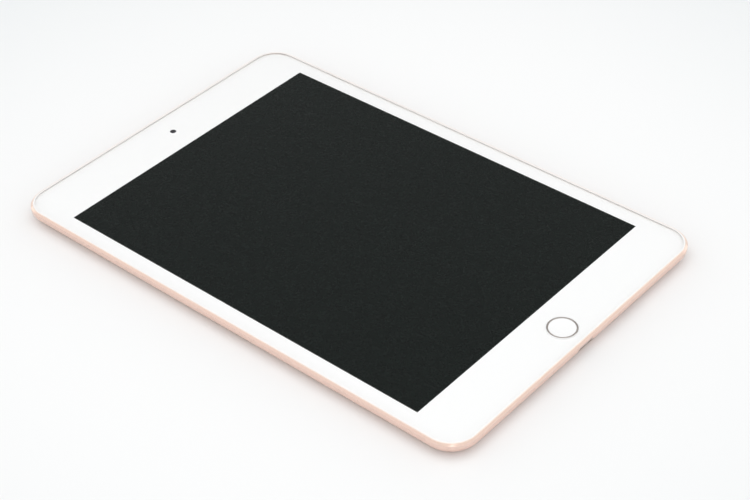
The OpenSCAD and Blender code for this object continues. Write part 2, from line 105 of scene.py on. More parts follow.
class TabletColours(bpy.types.PropertyGroup):
    metal: colour("Body metal", "Tinted matt metal of the body and edge buttons",
                  (0.84, 0.63, 0.55))
    bevel: colour("Bevel metal", "Polished bevel round the glass", (0.885, 0.67, 0.57))
    ring: colour("Ring metal", "Thin ring round the home button", (0.52, 0.47, 0.44))
    border: colour("Border", "White ink behind the glass", (0.93, 0.93, 0.925))
    # Painted reflection: the pink tone on the glass rim stands for the metal beside the glass,
    # seen in its rounded rim.
    glass_rim_painted_reflection: colour("Glass rim", "Rounded rim of the glass, which shows the metal beside it",
                      (0.88, 0.75, 0.67))
    screen: colour("Screen", "Screen when it is off", (0.0035, 0.006, 0.005))
    board: colour("Board", "Lacquer of the circuit board", (0.004, 0.045, 0.025))
    floor: colour("Floor", "Plain studio floor", (0.86, 0.86, 0.858))


class StageSettings(bpy.types.PropertyGroup):
    camera_at: FloatVectorProperty(name="Camera place", description="Where the camera stands",
                                   default=(-0.364294, -0.340872, 0.3924),
                                   subtype="TRANSLATION", unit="LENGTH", size=3, precision=6)
    turn: FloatProperty(name="Turn", description="Turn of the camera to the right of +Y",
                        default=math.radians(47.8125), unit="ROTATION", subtype="ANGLE")
    dip: FloatProperty(name="Dip", description="How far the camera looks down",
                       default=math.radians(38.736), unit="ROTATION", subtype="ANGLE")
    roll: FloatProperty(name="Roll", description="Roll of the camera about its view",
                        default=math.radians(-2.3856), unit="ROTATION", subtype="ANGLE")
    lens: FloatProperty(name="Lens", description="Focal length in millimetres", default=85.4,
                        min=10.0)


def sizes():
    return bpy.context.scene.tablet_sizes


def colours():
    return bpy.context.scene.tablet_colours


# ---- modelling helpers ----

def leave_edit():
    if bpy.context.mode != "OBJECT":
        bpy.ops.object.mode_set(mode="OBJECT")


def select_none():
    leave_edit()
    bpy.ops.object.select_all(action="DESELECT")


def only(piece):
    select_none()
    piece.select_set(True)
    bpy.context.view_layer.objects.active = piece
    return piece


def settle(name):
    """Names the new primitive and puts its place into its mesh."""
    piece = bpy.context.object
    piece.name = name
    piece.data.name = name
    bpy.ops.object.transform_apply(location=True, rotation=True, scale=True)
    return piece


def add_block(name, low, high):
    select_none()
    low, high = Vector(low), Vector(high)
    bpy.ops.mesh.primitive_cube_add(size=1, location=(low + high) / 2, scale=high - low)
    return settle(name)


def add_round(name, centre, radius, height, sides=48, axis="Z"):
    select_none()
    turned = {"Z": (0, 0, 0), "X": (0, math.pi / 2, 0), "Y": (math.pi / 2, 0, 0)}[axis]
    bpy.ops.mesh.primitive_cylinder_add(vertices=sides, radius=radius, depth=height,
                                        location=centre, rotation=turned)
    return settle(name)


def pick(piece, kind, test):
    """Opens a piece in edit mode with only the parts selected that pass the test."""
    only(piece)
    bpy.ops.object.mode_set(mode="EDIT")
    bpy.ops.mesh.select_mode(type=kind)
    bpy.ops.mesh.select_all(action="DESELECT")
    shape = bmesh.from_edit_mesh(piece.data)
    for part in {"VERT": shape.verts, "EDGE": shape.edges, "FACE": shape.faces}[kind]:
        if test(part):
            part.select_set(True)
    shape.select_flush_mode()
    bmesh.update_edit_mesh(piece.data)


def edit_all(piece):
    """Opens a piece in edit mode with all of it selected."""
    only(piece)
    bpy.ops.object.mode_set(mode="EDIT")
    bpy.ops.mesh.select_all(action="SELECT")


def faces_up(face):
    return face.normal.z > 0.99


def sink(piece, test, *steps):
    """Insets the faces that pass the test, once for each (width, depth) in millimetres."""
    pick(piece, "FACE", test)
    for width, depth in steps:
        bpy.ops.mesh.inset(thickness=width * MM, depth=depth * MM)
    leave_edit()


def plan_middle(low, high):
    return Vector(((low.x + high.x) / 2, (low.y + high.y) / 2, 0))


def centre_of(edge):
    return (edge.verts[0].co + edge.verts[1].co) / 2


def runs_along(edge, axis):
    line = edge.verts[1].co - edge.verts[0].co
    return abs(line.normalized()[axis]) > 0.99


def level(edge, axis, value, slack=0.004 * MM):
    return all(abs(v.co[axis] - value) < slack for v in edge.verts)


def bevel_picked(width, steps):
    bpy.ops.mesh.bevel(offset=width, offset_type="OFFSET", segments=steps, profile=0.5,
                       affect="EDGES", clamp_overlap=True)
    leave_edit()


def round_edges(piece, test, width, steps=3):
    pick(piece, "EDGE", test)
    bevel_picked(width, steps)
    return piece


def round_corners(piece, width, steps=3):
    """Rounds the upright edges of a piece."""
    return round_edges(piece, lambda e: runs_along(e, 2), width, steps)


def add_slab(name, low, high, corner, steps):
    """A block with round upright corners."""
    piece = add_block(name, low, high)
    return round_corners(piece, corner, steps)


def cut(piece, cutter):
    only(piece)
    hole = piece.modifiers.new("hole", "BOOLEAN")
    hole.operation = "DIFFERENCE"
    hole.solver = "EXACT"
    hole.object = cutter
    bpy.ops.object.modifier_apply(modifier=hole.name)
    bpy.data.objects.remove(cutter)
    return piece


def turn_profile(name, outline, centre, axis=UP, out=Vector((1, 0, 0)), steps=72):
    """Draws a half outline of (radius, height) points and spins it round an axis."""
    centre = Vector(centre)
    places = [centre + out * r + axis * h for r, h in outline]
    select_none()
    bpy.ops.mesh.primitive_plane_add(size=MM, location=places[0])
    piece = settle(name)
    bpy.ops.object.mode_set(mode="EDIT")
    bpy.ops.mesh.select_mode(type="VERT")
    bpy.ops.mesh.select_all(action="SELECT")
    bpy.ops.mesh.merge(type="CENTER")
    for here, there in zip(places, places[1:]):
        bpy.ops.mesh.extrude_vertices_move(
            TRANSFORM_OT_translate={"value": there - here})
    bpy.ops.mesh.select_all(action="SELECT")
    bpy.ops.mesh.spin(steps=steps, angle=2 * math.pi, center=centre, axis=axis)
    bpy.ops.mesh.select_all(action="SELECT")
    bpy.ops.mesh.remove_doubles(threshold=0.0005 * MM)
    bpy.ops.mesh.normals_make_consistent(inside=False)
    leave_edit()
    return piece


def copy_node(node, name, flatten=True):
    """A merged copy of a CAD node, ready to be shaped further."""
    piece = bpy.data.objects.new(name, NODES[node].data.copy())
    bpy.context.scene.collection.objects.link(piece)
    piece.data.materials.clear()
    edit_all(piece)
    bpy.ops.mesh.remove_doubles(threshold=0.0005 * MM)
    if flatten:
        bpy.ops.mesh.dissolve_limited(angle_limit=math.radians(0.5))
    leave_edit()
    return piece


def soften(piece, width, steps=2, angle=40):
    """Breaks the sharp edges of a piece."""
    only(piece)
    edge = piece.modifiers.new("edge", "BEVEL")
    edge.width = width
    edge.segments = steps
    edge.limit_method = "ANGLE"
    edge.angle_limit = math.radians(angle)
    edge.use_clamp_overlap = True
    bpy.ops.object.modifier_apply(modifier=edge.name)
    return piece


def copy_piece(piece, name, shift=(0, 0, 0)):
    """A twin with its own mesh, moved to its place."""
    only(piece)
    bpy.ops.object.duplicate(linked=False)
    twin = bpy.context.object
    twin.name = name
    twin.data.name = name
    only(twin)
    bpy.ops.transform.translate(value=shift)
    bpy.ops.object.transform_apply(location=True, rotation=True, scale=True)
    return twin


def loose_boxes(node):
    """The corners of each separate solid of a CAD node, from left to right."""
    piece = copy_node(node, "parts")
    edit_all(piece)
    bpy.ops.mesh.separate(type="LOOSE")
    leave_edit()
    boxes = []
    for part in list(bpy.context.selected_objects):
        points = [v.co for v in part.data.vertices]
        boxes.append((Vector(min(p[i] for p in points) for i in range(3)),
                      Vector(max(p[i] for p in points) for i in range(3))))
        bpy.data.objects.remove(part)
    return sorted(boxes, key=lambda b: tuple(round(c, 5) for c in b[0]))


def join(name, parts):
    select_none()
    for part in parts:
        part.select_set(True)
    bpy.context.view_layer.objects.active = parts[0]
    if len(parts) > 1:
        bpy.ops.object.join()
    parts[0].name = name
    parts[0].data.name = name
    return parts[0]


def dress(piece, *names):
    piece.data.materials.clear()
    for name in names:
        piece.data.materials.append(finish(name))


def give(piece, number, test):
    """Gives a later finish of the piece to the faces that pass the test."""
    for face in piece.data.polygons:
        if test(face):
            face.material_index = number


def hand_over(piece, stands_for=(), body="body", smooth=30):
    """Smooths a finished piece, ties it to its body and hides the CAD nodes it stands for."""
    only(piece)
    bpy.ops.object.shade_smooth_by_angle(angle=math.radians(smooth))
    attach(piece, body)
    if stands_for:
        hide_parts(*stands_for)
    return piece


def carry(node, name, slot, smooth=30, width=0, angle=40, flatten=True):
    """Hands over a softened copy of a CAD node, in the finish that its slot names."""
    piece = copy_node(node, name, flatten)
    if width:
        soften(piece, width * MM, 2, angle)
    dress(piece, slot)
    return hand_over(piece, [node], smooth=smooth)


# ---- finishes ----

class Skin:
    """A material being built: one surface and the patterns that feed it."""

    def __init__(self, name, base, rough, metal=0.0, **sockets):
        self.material = bpy.data.materials.new(name)
        self.material.use_nodes = True
        self.material.diffuse_color = (*base, 1.0)
        self.tree = self.material.node_tree
        self.tree.nodes.clear()
        self.base = (*base, 1.0)
        self.out = self.add("ShaderNodeOutputMaterial")
        self.surface = self.add("ShaderNodeBsdfPrincipled")
        self.link(self.surface.outputs["BSDF"], self.out.inputs["Surface"])
        self.surface.inputs["Base Color"].default_value = self.base
        self.surface.inputs["Roughness"].default_value = rough
        self.surface.inputs["Metallic"].default_value = metal
        for socket, value in sockets.items():
            self.surface.inputs[socket.replace("_", " ")].default_value = value
        self.place = self.add("ShaderNodeTexCoord").outputs["Object"]

    def add(self, kind):
        return self.tree.nodes.new(kind)

    def link(self, source, target):
        self.tree.links.new(source, target)

    def stretched(self, scale, shift=(0, 0, 0)):
        node = self.add("ShaderNodeMapping")
        node.inputs["Scale"].default_value = scale
        node.inputs["Location"].default_value = shift
        self.link(self.place, node.inputs["Vector"])
        return node.outputs["Vector"]

    def noise(self, scale, detail=3.0, at=None):
        node = self.add("ShaderNodeTexNoise")
        node.inputs["Scale"].default_value = scale
        node.inputs["Detail"].default_value = detail
        self.link(at or self.place, node.inputs["Vector"])
        return node.outputs["Fac"]

    def cells(self, scale, feature="F1", at=None, jitter=1.0):
        node = self.add("ShaderNodeTexVoronoi")
        node.feature = feature
        node.inputs["Scale"].default_value = scale
        node.inputs["Randomness"].default_value = jitter
        self.link(at or self.place, node.inputs["Vector"])
        return node.outputs["Distance"]

    def bands(self, scale, direction="X", wobble=0.0, at=None):
        node = self.add("ShaderNodeTexWave")
        node.bands_direction = direction
        node.inputs["Scale"].default_value = scale
        node.inputs["Distortion"].default_value = wobble
        self.link(at or self.place, node.inputs["Vector"])
        return node.outputs["Fac"]

    def axis(self, letter):
        node = self.add("ShaderNodeSeparateXYZ")
        self.link(self.place, node.inputs["Vector"])
        return node.outputs[letter]

    def between(self, value, low, high, start=0.0, end=1.0):
        node = self.add("ShaderNodeMapRange")
        node.interpolation_type = "SMOOTHSTEP"
        for socket, number in (("From Min", low), ("From Max", high),
                               ("To Min", start), ("To Max", end)):
            node.inputs[socket].default_value = number
        self.link(value, node.inputs["Value"])
        return node.outputs["Result"]

    def math(self, kind, first, second):
        node = self.add("ShaderNodeMath")
        node.operation = kind
        for socket, value in zip(node.inputs, (first, second)):
            if isinstance(value, (int, float)):
                socket.default_value = value
            else:
                self.link(value, socket)
        return node.outputs["Value"]

    def mix(self, share, first, second):
        node = self.add("ShaderNodeMix")
        node.data_type = "RGBA"
        ends = [s for s in node.inputs if s.type == "RGBA"]
        for socket, value in ((node.inputs[0], share), (ends[0], first), (ends[1], second)):
            if isinstance(value, (tuple, list)):
                socket.default_value = (*value[:3], 1.0)
            elif isinstance(value, (int, float)):
                socket.default_value = value
            else:
                self.link(value, socket)
        return [s for s in node.outputs if s.type == "RGBA"][0]

    def paint(self, socket):
        self.link(socket, self.surface.inputs["Base Color"])
        return self

    def roughen(self, socket):
        self.link(socket, self.surface.inputs["Roughness"])
        return self

    def bump(self, height, depth, strength=1.0):
        node = self.add("ShaderNodeBump")
        node.inputs["Strength"].default_value = strength
        node.inputs["Distance"].default_value = depth
        self.link(height, node.inputs["Height"])
        normal = self.surface.inputs["Normal"]
        if normal.is_linked:
            self.link(normal.links[0].from_socket, node.inputs["Normal"])
        self.link(node.outputs["Normal"], normal)
        return self

    def mottle(self, scale, amount):
        """Varies the base colour a little over the surface."""
        dark = tuple(c * (1 - amount) for c in self.base[:3])
        light = tuple(min(1.0, c * (1 + amount)) for c in self.base[:3])
        return self.paint(self.mix(self.between(self.noise(scale), 0.3, 0.7), dark, light))


def blasted_metal(name, base, rough, bevel=None):
    """Bead-blasted, dyed metal; the bevel round the glass is cut bright."""
    skin = Skin(name, base, rough, metal=1.0)
    grain = skin.noise(9000, 2.0)
    wear = skin.between(skin.noise(45, 4.0), 0.35, 0.75, -0.03, 0.05)
    fine = skin.between(grain, 0.3, 0.7, rough - 0.04, rough + 0.05)
    rough_all = skin.math("ADD", fine, wear)
    dark = tuple(c * 0.965 for c in base)
    light = tuple(min(1.0, c * 1.03) for c in base)
    tint = skin.mix(skin.between(skin.noise(700, 3.0), 0.35, 0.65), dark, light)
    skin.bump(grain, 0.004 * MM, 0.35)
    if bevel:
        foot, colour_there = bevel
        bright = skin.between(skin.axis("Z"), foot - 0.01 * MM, foot + 0.03 * MM)
        streak = skin.between(skin.noise(2500, 2.0), 0.3, 0.7, 0.1, 0.17)
        rough_mix = skin.add("ShaderNodeMix")
        skin.link(bright, rough_mix.inputs[0])
        skin.link(rough_all, rough_mix.inputs[2])
        skin.link(streak, rough_mix.inputs[3])
        rough_all = rough_mix.outputs[0]
        tint = skin.mix(bright, tint, colour_there)
    return skin.paint(tint).roughen(rough_all).material


def clear_pane(name):
    """Clear glass: what is behind shows through, and the sheen follows the angle."""
    skin = Skin(name, (1, 1, 1), 0.02)
    skin.tree.nodes.remove(skin.surface)
    through = skin.add("ShaderNodeBsdfTransparent")
    sheen = skin.add("ShaderNodeBsdfGlossy")
    fresnel = skin.add("ShaderNodeFresnel")
    fresnel.inputs["IOR"].default_value = 1.5
    inside = skin.add("ShaderNodeNewGeometry").outputs["Backfacing"]
    share = skin.math("MULTIPLY", fresnel.outputs["Fac"], skin.math("SUBTRACT", 1.0, inside))
    blend = skin.add("ShaderNodeMixShader")
    smears = skin.between(skin.noise(60, 4.0), 0.35, 0.8, 0.015, 0.03)
    skin.link(smears, sheen.inputs["Roughness"])
    skin.link(share, blend.inputs[0])
    skin.link(through.outputs[0], blend.inputs[1])
    skin.link(sheen.outputs[0], blend.inputs[2])
    skin.link(blend.outputs[0], skin.out.inputs["Surface"])
    return skin.material


def bonded_face(name):
    """The underside of the pane, which is glued down and so shows no sheen."""
    skin = Skin(name, (1, 1, 1), 0.5)
    skin.tree.nodes.remove(skin.surface)
    through = skin.add("ShaderNodeBsdfTransparent")
    skin.link(through.outputs[0], skin.out.inputs["Surface"])
    return skin.material


def white_ink(name, base, rough=0.4):
    skin = Skin(name, base, rough)
    skin.mottle(900, 0.006)
    skin.roughen(skin.between(skin.noise(4000, 2.0), 0.3, 0.7, rough - 0.05, rough + 0.05))
    return skin.bump(skin.noise(6000, 2.0), 0.001 * MM, 0.2).material


def dark_screen(name, base):
    """The stack under the glass when it is off, with its faint cell grid."""
    skin = Skin(name, base, 0.25, IOR=1.45, Specular_IOR_Level=0.15)
    grid = skin.bands(2400, "X")
    lit = tuple(c * 1.25 for c in base)
    skin.paint(skin.mix(skin.between(grid, 0.4, 0.6, 0.0, 0.5), base, lit))
    skin.roughen(skin.between(skin.noise(800), 0.3, 0.7, 0.22, 0.3))
    return skin.material


def gloss_white(name, base):
    skin = Skin(name, base, 0.2, Coat_Weight=0.6, Coat_Roughness=0.04)
    skin.mottle(1200, 0.008)
    skin.roughen(skin.between(skin.noise(3000), 0.3, 0.7, 0.16, 0.26))
    return skin.bump(skin.noise(5000, 2.0), 0.0006 * MM, 0.2).material


def turned_metal(name, base, rough=0.2, lines=(1, 1, 12)):
    skin = Skin(name, base, rough, metal=1.0)
    grooves = skin.noise(6000, 2.0, at=skin.stretched(lines))
    skin.mottle(1500, 0.05)
    skin.roughen(skin.between(grooves, 0.3, 0.7, rough - 0.06, rough + 0.08))
    return skin.bump(grooves, 0.003 * MM, 0.4).material


def brushed_steel(name, base, rough=0.3, along=(1, 25, 25)):
    skin = Skin(name, base, rough, metal=1.0)
    lines = skin.noise(900, 4.0, at=skin.stretched(along))
    skin.mottle(350, 0.06)
    skin.roughen(skin.between(lines, 0.25, 0.75, rough - 0.08, rough + 0.12))
    return skin.bump(lines, 0.004 * MM, 0.5).material


def moulded_plastic(name, base, rough, grain=2600, depth=0.006 * MM):
    skin = Skin(name, base, rough)
    spark = skin.noise(grain, 3.0)
    skin.mottle(260, 0.08)
    skin.roughen(skin.between(spark, 0.3, 0.7, max(0.05, rough - 0.08), min(1.0, rough + 0.1)))
    return skin.bump(spark, depth, 0.6).material


def lens_glass(name, base):
    skin = Skin(name, base, 0.04, Coat_Weight=1.0, Coat_Roughness=0.02, IOR=1.6)
    skin.paint(skin.mix(skin.between(skin.cells(330), 0.0, 1.0, 0.0, 0.4), base,
                        (0.03, 0.012, 0.05)))
    skin.roughen(skin.between(skin.noise(900), 0.3, 0.7, 0.03, 0.07))
    return skin.material


def pouch_foil(name, base):
    """Dull foil laminate, drawn tight with shallow creases."""
    skin = Skin(name, base, 0.42)
    creases = skin.noise(170, 5.0, at=skin.stretched((1.0, 0.4, 1.0)))
    skin.mottle(90, 0.18)
    skin.roughen(skin.between(skin.noise(1400), 0.3, 0.7, 0.34, 0.52))
    skin.bump(creases, 0.12 * MM, 0.35)
    return skin.bump(skin.noise(5000, 2.0), 0.004 * MM, 0.4).material


def woven_tape(name, base):
    skin = Skin(name, base, 0.7)
    weave = skin.math("MULTIPLY", skin.bands(900, "X"), skin.bands(900, "Y"))
    skin.mottle(400, 0.05)
    skin.roughen(skin.between(skin.noise(2000), 0.3, 0.7, 0.6, 0.8))
    return skin.bump(weave, 0.02 * MM, 0.6).material


def board_lacquer(name, base):
    """Green lacquer over raised tracks, with tinned dots scattered over it."""
    skin = Skin(name, base, 0.3, Coat_Weight=0.3, Coat_Roughness=0.15)
    wander = skin.math("MAXIMUM", skin.between(skin.bands(330, "X", 3.0), 0.55, 0.75),
                       skin.between(skin.bands(270, "Y", 4.0), 0.6, 0.8))
    dots = skin.between(skin.cells(520), 0.16, 0.12)
    track = skin.mix(wander, base, tuple(min(1.0, c * 2.2 + 0.004) for c in base))
    skin.paint(skin.mix(dots, track, (0.55, 0.5, 0.38)))
    skin.roughen(skin.between(dots, 0.0, 1.0, 0.34, 0.22))
    return skin.bump(skin.math("ADD", wander, dots), 0.02 * MM, 0.5).material


def ribbon_film(name, base):
    """Amber film over rows of copper tracks."""
    skin = Skin(name, base, 0.35, Coat_Weight=0.4, Coat_Roughness=0.2)
    rows = skin.math("MAXIMUM", skin.between(skin.bands(420, "X"), 0.55, 0.75),
                     skin.between(skin.bands(420, "Y"), 0.62, 0.8))
    skin.paint(skin.mix(rows, base, (0.3, 0.13, 0.035)))
    skin.roughen(skin.between(skin.noise(1500), 0.3, 0.7, 0.28, 0.42))
    return skin.bump(rows, 0.012 * MM, 0.5).material


def punched_mesh(name, base):
    skin = Skin(name, base, 0.5, metal=1.0)
    holes = skin.between(skin.cells(3300, jitter=0.0), 0.34, 0.42)
    skin.paint(skin.mix(holes, (0.004, 0.004, 0.004), base))
    skin.roughen(skin.between(skin.noise(2500), 0.3, 0.7, 0.4, 0.6))
    return skin.bump(holes, 0.05 * MM, 0.8).material


def soft_foam(name, base):
    skin = Skin(name, base, 0.85)
    pores = skin.cells(2600)
    skin.mottle(600, 0.15)
    skin.roughen(skin.between(pores, 0.0, 0.8, 0.75, 0.95))
    return skin.bump(pores, 0.05 * MM, 0.7).material


FINISHES = {}


def finish(name):
    """Each finish is made once, the first time a piece asks for it."""
    if name not in FINISHES:
        tones = colours()
        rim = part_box("rear_housing")[1].z - 0.6 * MM
        makers = {
            "body_metal": (blasted_metal, tuple(tones.metal), 0.3, (rim, tuple(tones.bevel))),
            "button_metal": (blasted_metal, tuple(tones.metal), 0.27),
            "button_rim": (turned_metal, tuple(tones.bevel), 0.14, (1, 1, 1)),
            "clear_glass": (clear_pane,),
            "bonded_face": (bonded_face,),
            "glass_border": (gloss_white, tuple(tones.border)),
            # The rounded rim and side faces of the glass carry a painted reflection of the metal
            # beside them.
            "glass_edge": (gloss_white, tuple(tones.glass_rim_painted_reflection)),
            "white_ink": (white_ink, tuple(tones.border)),
            "screen_black": (dark_screen, tuple(tones.screen)),
            "button_white": (gloss_white, tuple(tones.border)),
            "ring_metal": (turned_metal, tuple(tones.ring), 0.4),
            # Pale seal round the glass, tinted with the painted reflection tone of the metal.
            "rim_seal": (white_ink, tuple(tones.glass_rim_painted_reflection), 0.5),
            "trim_metal": (turned_metal, tuple(tones.bevel), 0.18),
            "dark_rubber": (moulded_plastic, (0.02, 0.02, 0.02), 0.7),
            "backlight_white": (moulded_plastic, (0.7, 0.72, 0.73), 0.3),
            "flex_film": (ribbon_film, (0.1, 0.035, 0.008)),
            "sensor_dark": (moulded_plastic, (0.012, 0.012, 0.014), 0.38),
            "soft_white": (moulded_plastic, (0.75, 0.75, 0.73), 0.6),
            "spring_steel": (brushed_steel, (0.58, 0.57, 0.55)),
            "shield_tin": (brushed_steel, (0.62, 0.62, 0.6), 0.34, (25, 1, 25)),
            "camera_black": (moulded_plastic, (0.01, 0.01, 0.011), 0.35),
            "lens_glass": (lens_glass, (0.004, 0.006, 0.014)),
            "cell_pouch": (pouch_foil, (0.018, 0.018, 0.02)),
            "adhesive_white": (woven_tape, (0.75, 0.75, 0.72)),
            "wrap_black": (moulded_plastic, (0.014, 0.014, 0.015), 0.5),
            "board_green": (board_lacquer, tuple(tones.board)),
            "plug_ivory": (moulded_plastic, (0.5, 0.46, 0.34), 0.45),
            "graphite": (moulded_plastic, (0.03, 0.03, 0.033), 0.42, 4200),
            "socket_white": (moulded_plastic, (0.82, 0.82, 0.81), 0.4),
            "gold_plate": (turned_metal, (0.85, 0.58, 0.2), 0.22, (1, 1, 1)),
            "mesh_dark": (punched_mesh, (0.1, 0.1, 0.1)),
            "antenna_copper": (ribbon_film, (0.36, 0.14, 0.06)),
            "magnet_nickel": (brushed_steel, (0.6, 0.59, 0.57), 0.2, (25, 1, 25)),
            "foam_grey": (soft_foam, (0.12, 0.12, 0.125)),
            "frame_black": (moulded_plastic, (0.013, 0.013, 0.014), 0.45),
            "tray_tin": (brushed_steel, (0.66, 0.66, 0.65), 0.3, (1, 25, 25)),
            "chip_black": (moulded_plastic, (0.016, 0.017, 0.019), 0.48, 5200, 0.003 * MM),
            "board_edge": (moulded_plastic, (0.16, 0.17, 0.08), 0.6),
            "cap_body": (moulded_plastic, (0.2, 0.13, 0.08), 0.45),
            "solder": (turned_metal, (0.62, 0.61, 0.6), 0.3, (1, 1, 1)),
            "screw_steel": (turned_metal, (0.6, 0.59, 0.58), 0.24, (1, 1, 8)),
            "socket_steel": (brushed_steel, (0.5, 0.49, 0.48), 0.3, (25, 1, 25)),
            # Painted shade inside the charging slot.
            "socket_dark": (moulded_plastic, (0.5, 0.4, 0.34), 0.4),
            "floor": (floor_with_painted_pool, tuple(tones.floor)),
        }
        maker, *values = makers[name]
        FINISHES[name] = maker(name, *values)
    return FINISHES[name]


def floor_with_painted_pool(name, base):
    """Matt floor with a painted pool of light: a little darker away from the middle."""
    skin = Skin(name, base, 0.8, Specular_IOR_Level=0.2)
    reach = skin.add("ShaderNodeVectorMath")
    reach.operation = "LENGTH"
    skin.link(skin.place, reach.inputs[0])
    # Painted pool of light: the floor is painted darker towards its outer reach, as if the light
    # fell off there.
    skin.paint(skin.mix(skin.between(reach.outputs["Value"], 0.1, 0.32), base,
                        (base[0] * 0.85, base[1] * 0.875, base[2] * 0.885)))
    return skin.bump(skin.noise(900), 0.01 * MM, 0.1).material


# ---- the pieces ----

class TABLET_OT_housing(bpy.types.Operator):
    """Smooth the metal body and give it its blasted finish"""
    bl_idname = "tablet.housing"
    bl_label = "Metal body"

    def execute(self, context):
        shell = copy_node("rear_housing", "metal_body", flatten=False)
        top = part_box("rear_housing")[1].z
        edit_all(shell)
        bpy.ops.mesh.dissolve_degenerate(threshold=0.002 * MM)
        leave_edit()
        # The lip on top and the wall round the glass take a pale seal finish, tinted pink with the
        # same painted reflection of the metal as the glass rim.
        dress(shell, "body_metal", "rim_seal")
        give(shell, 1, lambda f: f.center.z > top - 0.02 * MM and f.normal.z > 0.99)
        give(shell, 1, lambda f: f.center.z > top - SEAT_RIM and abs(f.normal.z) < 0.1
             and f.normal.xy.dot(f.center.xy) < 0)
        only(shell)
        bpy.ops.object.shade_smooth_by_angle(angle=math.radians(24))
        pick(shell, "EDGE", lambda e: level(e, 2, top) or level(e, 2, top - BEVEL))
        bpy.ops.mesh.mark_sharp()
        leave_edit()
        weigh = shell.modifiers.new("weigh", "WEIGHTED_NORMAL")
        weigh.keep_sharp = True
        weigh.weight = 80
        bpy.ops.object.modifier_apply(modifier=weigh.name)
        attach(shell, "body")
        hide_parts("rear_housing")
        return {"FINISHED"}


class TABLET_OT_glass(bpy.types.Operator):
    """Model the cover glass with its rounded edge and the hole for the home button"""
    bl_idname = "tablet.glass"
    bl_label = "Cover glass"

    def execute(self, context):
        low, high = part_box("cover_glass")
        ring_low, ring_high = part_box("home_button_ring")
        hole_r = (ring_high.x - ring_low.x) / 2 - 0.6 * MM
        middle = (ring_low + ring_high) / 2
        spread = Vector((0.07, 0.07, 0)) * MM
        low, high = low - spread + UP * 0.02 * MM, high + spread
        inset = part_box("rear_housing")[1].x - high.x
        pane = add_slab("glass_pane", low, high, BODY_CORNER - inset, sizes().round_steps)
        round_edges(pane, lambda e: level(e, 2, high.z), sizes().glass_round, 4)
        sink(pane, faces_up, (0.5, 0))
        dress(pane, "clear_glass", "glass_edge", "bonded_face", "glass_border")
        give(pane, 3, lambda f: f.normal.z > 0.99 and f.area < 1e-3)
        # Rounded rim and side faces of the pane take the painted reflection of the metal.
        give(pane, 1, lambda f: -0.1 < f.normal.z < 0.985)
        give(pane, 2, lambda f: f.normal.z < -0.9)
        cutter = add_round("home_hole", (middle.x, middle.y, high.z), hole_r, 4 * MM, 96)
        cut(pane, cutter)
        round_edges(pane, lambda e: level(e, 2, high.z)
                    and (centre_of(e) - middle).xy.length < 1.05 * hole_r, 0.08 * MM, 2)
        give(pane, 3, lambda f: (f.center - middle).xy.length < 1.05 * hole_r
             and -0.9 < f.normal.z < 0.985)
        hand_over(pane, ["cover_glass"], smooth=20)
        return {"FINISHED"}


class TABLET_OT_home_button(bpy.types.Operator):
    """Turn the dished home button, its metal ring, the sensor and the snap dome"""
    bl_idname = "tablet.home_button"
    bl_label = "Home button"

    def execute(self, context):
        low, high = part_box("home_button_cap")
        at = plan_middle(low, high)
        r = (high.x - low.x) / 2
        top, foot, dish = high.z, low.z, sizes().dish_depth
        bowl = r - 0.35 * MM
        outline = [(0, foot), (r, foot), (r, top - 0.12 * MM), (r - 0.04 * MM, top - 0.04 * MM),
                   (r - 0.12 * MM, top)]
        outline += [(bowl * s, top - dish * (1 - s * s)) for s in
                    (1.0, 0.9, 0.75, 0.6, 0.45, 0.3, 0.15, 0.0)]
        cap = turn_profile("home_button_face", outline, at, steps=96)
        dress(cap, "button_white")
        hand_over(cap, ["home_button_cap"], "home_button", 40)

        low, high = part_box("home_button_ring")
        flange, wide = (high.x - low.x) / 2, (high.x - low.x) / 2 - 0.7 * MM
        thin, c = wide - 0.45 * MM, 0.07 * MM
        step = low.z + 0.3 * MM
        outline = [(thin, low.z), (flange, low.z), (flange, step), (wide, step),
                   (wide, high.z - c), (wide - c * 0.4, high.z - c * 0.25), (wide - c, high.z),
                   (thin + c, high.z), (thin + c * 0.4, high.z - c * 0.25), (thin, high.z - c),
                   (thin, low.z)]
        ring = turn_profile("home_button_band", outline, at, steps=96)
        dress(ring, "ring_metal")
        hand_over(ring, ["home_button_ring"], "home_button", 40)

        low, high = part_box("home_button_sensor")
        r = (high.x - low.x) / 2
        mid = low.z + 0.15 * MM
        outline = [(0, low.z), (r - 1.2 * MM, low.z), (r - 1 * MM, low.z + 0.05 * MM),
                   (r - 1 * MM, mid), (r - 0.05 * MM, mid), (r, mid + 0.05 * MM), (r, high.z),
                   (0, high.z)]
        puck = turn_profile("home_button_puck", outline, at, steps=64)
        dress(puck, "sensor_dark")
        hand_over(puck, ["home_button_sensor"], "home_button")
        snap_dome("home_button_dome", UP)
        return {"FINISHED"}


def snap_dome(node, axis):
    """A thin pressed dome, of the kind that flattens as its button goes in; it is modelled at
    rest.
    """
    low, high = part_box(node)
    lift = abs((high - low).dot(axis))
    foot = (low + high) / 2 - axis * (lift / 2)
    across = Vector((axis.y, axis.z, axis.x))
    r = abs((high - low).dot(across)) / 2
    t = min(0.08 * MM, lift * 0.3)
    outline = [(0, lift), (r * 0.35, lift * 0.94), (r * 0.65, lift * 0.7), (r * 0.86, lift * 0.3),
               (r * 0.92, t), (r, t * 0.9), (r, 0), (r * 0.88, 0), (r * 0.78, lift * 0.3),
               (r * 0.55, lift * 0.7 - t), (r * 0.3, lift * 0.94 - t), (0, lift - t)]
    dome = turn_profile(node + "_disc", outline, foot, axis, across, steps=32)
    dress(dome, "spring_steel")
    hand_over(dome, [node], "body", 50)
    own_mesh(dome)


